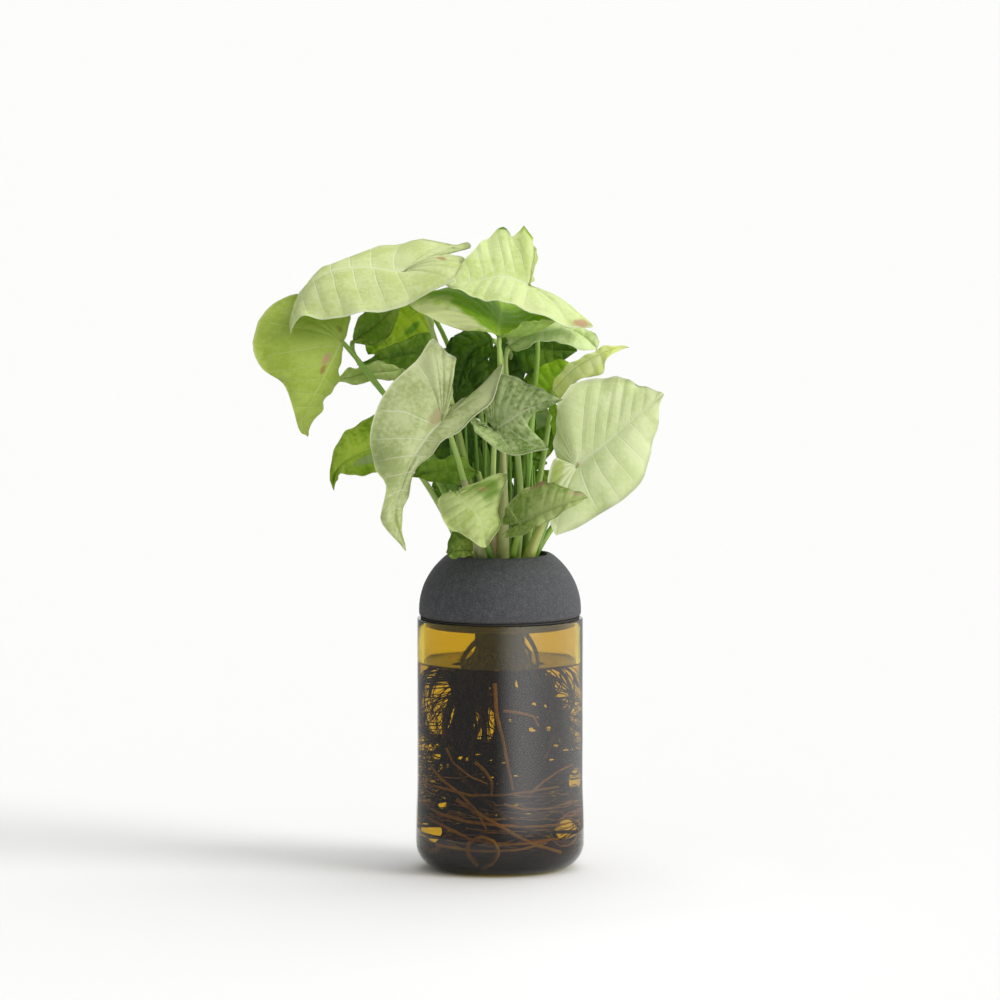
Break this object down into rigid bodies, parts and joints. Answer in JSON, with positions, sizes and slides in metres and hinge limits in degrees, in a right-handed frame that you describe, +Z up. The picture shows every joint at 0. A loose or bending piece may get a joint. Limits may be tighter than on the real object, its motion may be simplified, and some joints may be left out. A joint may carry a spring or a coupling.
{
  "type": "bottle planter",
  "caption": "Water planter made from the cut-down foot of a bottle, with a moulded collar, a net cup and a leafy climbing plant rooted in the jar",
  "frame": {"origin": "centre of the ring that the jar stands on, on the resting plane", "axes": "+Z up along the jar's axis of symmetry; +X to the right and +Y away from the viewer in the picture"},
  "size_m": [0.1836, 0.1415, 0.2918],
  "materials": {
    "jar_glass": "clear, amber to olive",
    "seal_rubber": "matte",
    "collar_plastic": "matte with a fine grain",
    "cup_plastic": "satin",
    "plug_foam": "open foam",
    "leaf_pale": "satin leaf, pale with cream veins",
    "leaf_mid": "satin leaf",
    "leaf_dark": "satin leaf",
    "root": "wet, fibrous"
  },
  "bodies": {
    "jar": {"glass_jar": "jar_glass"},
    "seal": {"rim_seal": "seal_rubber"},
    "collar": {"collar": "collar_plastic"},
    "plant": {"net_cup": "cup_plastic", "grow_plug": "plug_foam", "leaf_01": "leaf_pale", "leaf_02": "leaf_pale", "leaf_03": "leaf_pale", "leaf_04": "leaf_pale", "leaf_05": "leaf_pale", "leaf_06": "leaf_pale", "leaf_07": "leaf_pale", "leaf_08": "leaf_pale", "leaf_09": "leaf_pale", "leaf_10": "leaf_mid", "leaf_11": "leaf_pale", "leaf_12": "leaf_mid", "leaf_13": "leaf_pale", "leaf_14": "leaf_pale", "leaf_15": "leaf_pale", "leaf_16": "leaf_dark", "leaf_17": "leaf_pale", "leaf_18": "leaf_dark", "leaf_19": "leaf_dark", "leaf_20": "leaf_dark", "leaf_21": "leaf_pale", "leaf_22": "leaf_mid", "leaf_23": "leaf_mid", "leaf_24": "leaf_dark", "leaf_25": "leaf_mid", "leaf_26": "leaf_mid", "leaf_27": "leaf_mid", "leaf_28": "leaf_mid", "leaf_29": "leaf_mid", "root_01": "root", "root_02": "root", "root_03": "root", "root_04": "root", "root_05": "root", "root_06": "root", "root_07": "root", "root_08": "root", "root_09": "root", "root_10": "root"}
  },
  "joints": [
    {"name": "collar_lift", "type": "slide", "parent": "jar", "child": "seal", "axis": [0, 0, 1], "range_m": [0, 0.12]},
    {"name": "collar_turn", "type": "hinge", "parent": "seal", "child": "collar", "pos_m": [0, 0, 0.115], "axis": [0, 0, 1], "continuous": true},
    {"name": "cup_lift", "type": "slide", "parent": "collar", "child": "plant", "axis": [0, 0, 1], "range_m": [0, 0.045]}
  ]
}
